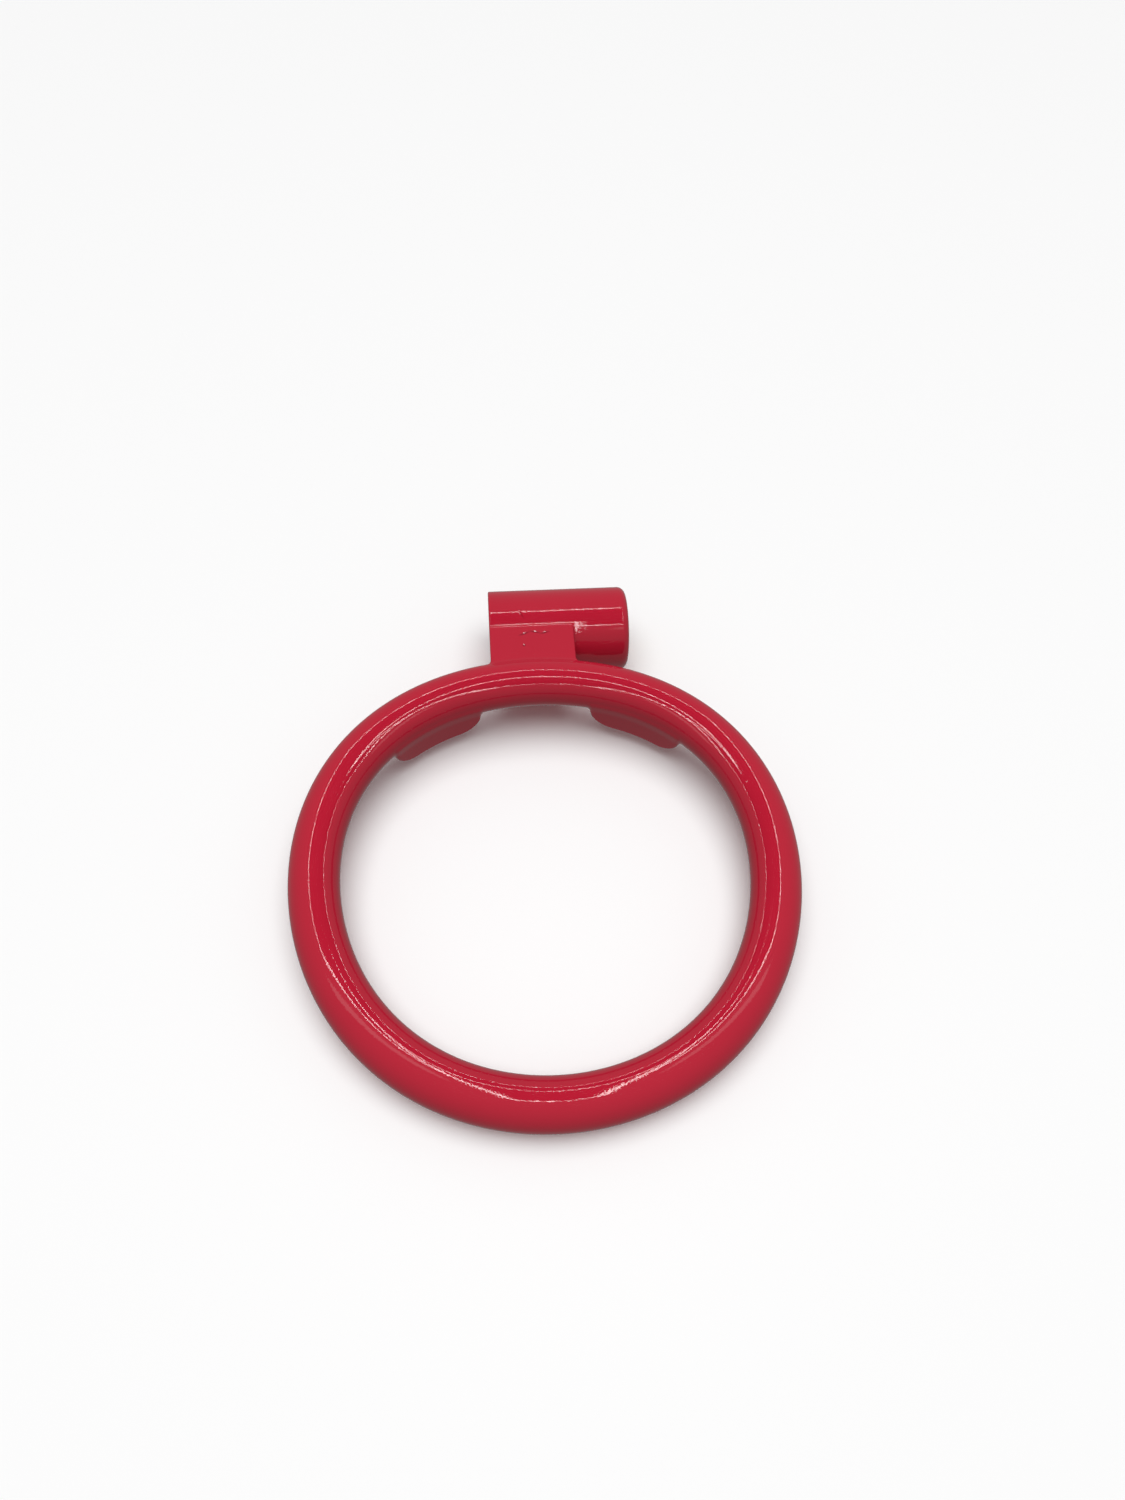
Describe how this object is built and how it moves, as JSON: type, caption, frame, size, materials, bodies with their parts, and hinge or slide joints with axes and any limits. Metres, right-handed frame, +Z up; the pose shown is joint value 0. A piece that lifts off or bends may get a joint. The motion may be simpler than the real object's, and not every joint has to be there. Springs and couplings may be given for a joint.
{
  "type": "locking base ring",
  "caption": "Thick round-section hoop with a lock barrel carried on a flat web behind it; a wafer lock in the barrel turns a cam that pushes out a locking pin",
  "frame": {"origin": "middle of the bottom of the overall box, on the table that the ring lies on", "axes": "+Y points from the hoop to the barrel and is the longest extent, +X is the barrel's axis and points to its open end, +Z is up"},
  "size_m": [0.0562, 0.0674, 0.0105],
  "materials": {
    "red_plastic": "polished moulded plastic, glossy crimson",
    "brass": "turned brass",
    "wafer_brass": "stamped brass sheet",
    "steel": "turned steel",
    "spring_steel": "drawn spring wire"
  },
  "bodies": {
    "ring": {"ring_body": "red_plastic", "lock_sleeve": "brass", "plug_circlip": "spring_steel", "rear_cap": "brass", "sleeve_dowel": "steel", "pin_spring": "spring_steel"},
    "plug": {"lock_plug": "brass", "lock_cam": "steel", "cam_screw": "steel", "wafer_1": "wafer_brass", "wafer_2": "wafer_brass", "wafer_3": "wafer_brass", "wafer_4": "wafer_brass", "wafer_5": "wafer_brass", "wafer_spring_1": "spring_steel", "wafer_spring_2": "spring_steel", "wafer_spring_3": "spring_steel", "wafer_spring_4": "spring_steel", "wafer_spring_5": "spring_steel"},
    "pin": {"locking_pin": "steel"}
  },
  "joints": [
    {"name": "plug_turn", "type": "hinge", "parent": "ring", "child": "plug", "pos_m": [0, 0.02843, 0.00525], "axis": [1, 0, 0], "range_deg": [0, 90]},
    {"name": "locking_pin_slide", "type": "slide", "parent": "ring", "child": "pin", "axis": [0, 0.9961, 0.0884], "range_m": [0, 0.001], "deforming": ["pin_spring"]}
  ],
  "couplings": [
    {"joint": "locking_pin_slide", "follows": "plug_turn", "m_per_rad": 0.000636}
  ]
}
